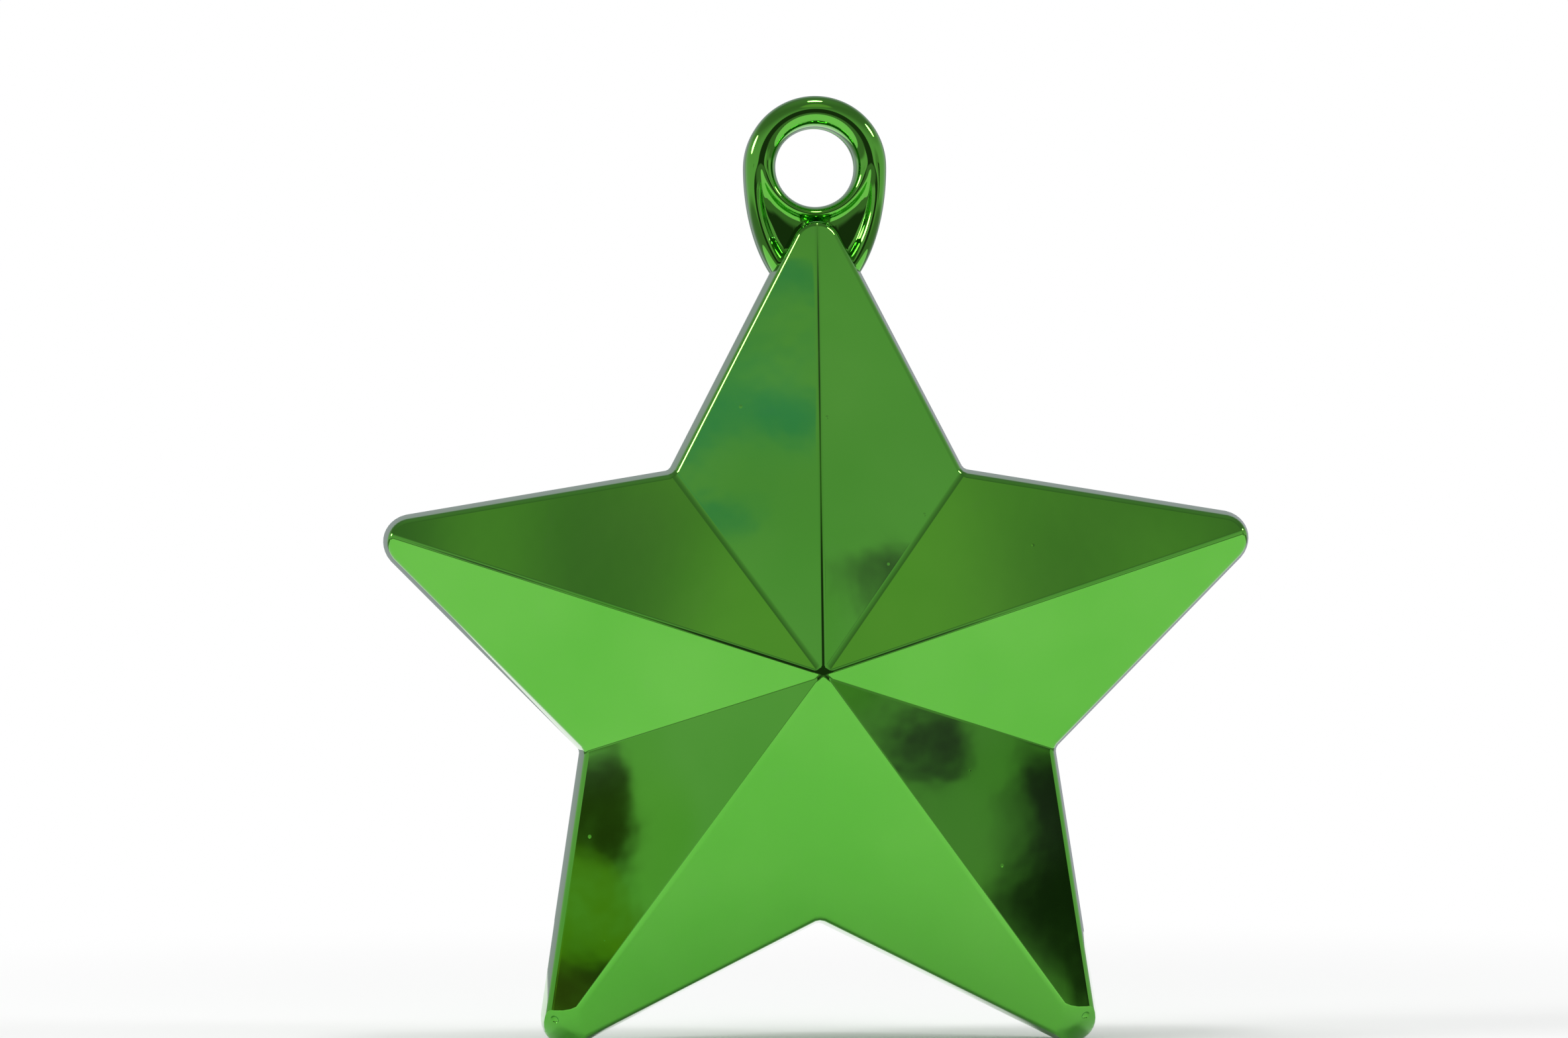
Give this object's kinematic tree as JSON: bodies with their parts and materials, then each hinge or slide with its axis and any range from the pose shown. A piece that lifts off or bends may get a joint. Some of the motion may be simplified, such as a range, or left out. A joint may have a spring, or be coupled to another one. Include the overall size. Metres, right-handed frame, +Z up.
{
  "type": "balloon weight",
  "caption": "Faceted star balloon weight: mirror-plated half shells with a moulded ribbon loop on the top point, filled with cast ballast.",
  "frame": {"origin": "on the seam between the halves, under the middle of the star, level with its lower tips", "axes": "+Z up towards the ribbon loop, +X to the right seen from the front, the front faces -Y"},
  "size_m": [0.1004, 0.033, 0.11],
  "materials": {
    "green_plating": "moulded plastic with a green metallised mirror coat under clear lacquer",
    "ballast": "rough cast cement"
  },
  "bodies": {
    "root": {"front_shell": "green_plating", "back_shell": "green_plating", "front_ballast": "ballast", "back_ballast": "ballast"}
  },
  "joints": []
}
